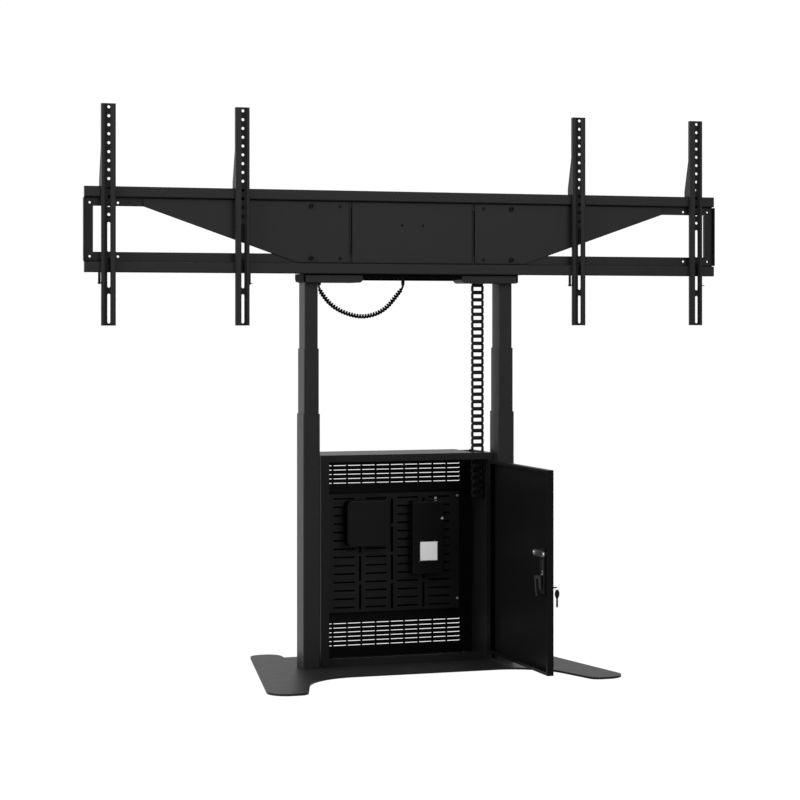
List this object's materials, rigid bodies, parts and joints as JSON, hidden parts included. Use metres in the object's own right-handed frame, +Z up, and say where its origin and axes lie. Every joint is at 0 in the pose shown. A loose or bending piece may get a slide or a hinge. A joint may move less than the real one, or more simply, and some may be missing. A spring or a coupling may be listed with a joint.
{
  "type": "tv lift mechanism",
  "caption": "Free-standing motorised lift with telescopic columns, a wide rail beam with sliding screen brackets, and a lockable equipment cabinet between the columns.",
  "frame": {"origin": "on the floor under the base plate, midway between the two columns", "axes": "+X to the right along the beam, +Y to the back, +Z up"},
  "size_m": [1.936, 0.7825, 1.62],
  "materials": {
    "base_steel": "fine-textured black powder coat",
    "column_steel": "satin black powder coat",
    "inner_steel": "plain steel",
    "guide_plastic": "black sliding plastic",
    "cabinet_steel": "satin black powder coat",
    "beam_steel": "satin black powder coat",
    "bracket_steel": "satin black powder coat",
    "box_plastic": "matte black plastic",
    "black_screw": "black oxide",
    "bright_screw": "zinc plated",
    "spine_plastic": "moulded black plastic",
    "cord_rubber": "soft black cord jacket",
    "gland_plastic": "moulded black plastic",
    "handle_metal": "black die casting",
    "lock_steel": "black plated steel",
    "key_nickel": "nickel plated",
    "spare_black": "black key head"
  },
  "bodies": {
    "root": {"base_plate": "base_steel", "rear_plate": "base_steel", "left_outer_tube": "column_steel", "right_outer_tube": "column_steel", "column_drives": "inner_steel", "lower_spindles": "inner_steel", "cabinet_shell": "cabinet_steel", "cabinet_back": "cabinet_steel", "mounting_plate": "cabinet_steel", "plate_standoffs": "bright_screw", "media_box": "box_plastic", "control_box": "box_plastic", "cabinet_screws": "bright_screw", "hinge_barrels": "inner_steel"},
    "left_mid": {"left_mid_tube": "column_steel", "left_mid_guide": "guide_plastic", "left_hollow_spindle": "inner_steel"},
    "right_mid": {"right_mid_tube": "column_steel", "right_mid_guide": "guide_plastic", "right_hollow_spindle": "inner_steel"},
    "carriage": {"left_inner_tube": "column_steel", "right_inner_tube": "column_steel", "inner_nuts": "guide_plastic", "cross_beam": "beam_steel", "top_brackets": "beam_steel", "carrier_frame": "beam_steel", "top_rail": "beam_steel", "bottom_rail": "beam_steel", "centre_plate": "beam_steel", "left_wing_plate": "beam_steel", "right_wing_plate": "beam_steel", "left_end_handle": "beam_steel", "right_end_handle": "beam_steel", "beam_screws": "black_screw", "spine_bracket": "beam_steel", "cable_spine": "spine_plastic", "cord_glands": "gland_plastic", "coiled_cord": "cord_rubber"},
    "door": {"door_panel": "cabinet_steel", "hinge_leaves": "inner_steel", "handle_base": "handle_metal", "handle_clamp": "lock_steel", "clamp_screws": "bright_screw"},
    "handle": {"handle_grip": "handle_metal", "latch_cam": "lock_steel", "cam_screws": "bright_screw"},
    "lock": {"lock_plug": "lock_steel", "key": "key_nickel", "lock_lever": "lock_steel"},
    "ring": {"key_ring": "key_nickel", "spare_key": "spare_black"},
    "arm_1": {"bracket_1": "bracket_steel", "bracket_1_lock_screw": "black_screw"},
    "arm_2": {"bracket_2": "bracket_steel", "bracket_2_lock_screw": "black_screw"},
    "arm_3": {"bracket_3": "bracket_steel", "bracket_3_lock_screw": "black_screw"},
    "arm_4": {"bracket_4": "bracket_steel", "bracket_4_lock_screw": "black_screw"}
  },
  "joints": [
    {"name": "carriage_lift", "type": "slide", "parent": "root", "child": "carriage", "axis": [0, 0, 1], "range_m": [-0.35, 0.3]},
    {"name": "left_mid_slide", "type": "slide", "parent": "root", "child": "left_mid", "axis": [0, 0, 1], "range_m": [-0.175, 0.15]},
    {"name": "right_mid_slide", "type": "slide", "parent": "root", "child": "right_mid", "axis": [0, 0, 1], "range_m": [-0.175, 0.15]},
    {"name": "door_swing", "type": "hinge", "parent": "root", "child": "door", "pos_m": [0.258, -0.0045, 0.3125], "axis": [0, 0, 1], "range_deg": [-90, 10]},
    {"name": "handle_turn", "type": "hinge", "parent": "door", "child": "handle", "pos_m": [0.2645, -0.44, 0.3643], "axis": [1, 0, 0], "range_deg": [0, 90]},
    {"name": "key_turn", "type": "hinge", "parent": "door", "child": "lock", "pos_m": [0.2645, -0.44, 0.267], "axis": [1, 0, 0], "range_deg": [0, 90]},
    {"name": "key_ring_swing", "type": "hinge", "parent": "lock", "child": "ring", "pos_m": [0.2995, -0.44, 0.264], "axis": [0, -1, 0], "range_deg": [-25, 60]},
    {"name": "bracket_1_slide", "type": "slide", "parent": "carriage", "child": "arm_1", "axis": [1, 0, 0], "range_m": [-0.04, 0.3]},
    {"name": "bracket_2_slide", "type": "slide", "parent": "carriage", "child": "arm_2", "axis": [1, 0, 0], "range_m": [-0.3, 0.13]},
    {"name": "bracket_3_slide", "type": "slide", "parent": "carriage", "child": "arm_3", "axis": [1, 0, 0], "range_m": [-0.13, 0.3]},
    {"name": "bracket_4_slide", "type": "slide", "parent": "carriage", "child": "arm_4", "axis": [1, 0, 0], "range_m": [-0.3, 0.04]}
  ],
  "couplings": [
    {"joint": "left_mid_slide", "follows": "carriage_lift", "ratio": 0.5},
    {"joint": "right_mid_slide", "follows": "carriage_lift", "ratio": 0.5}
  ]
}
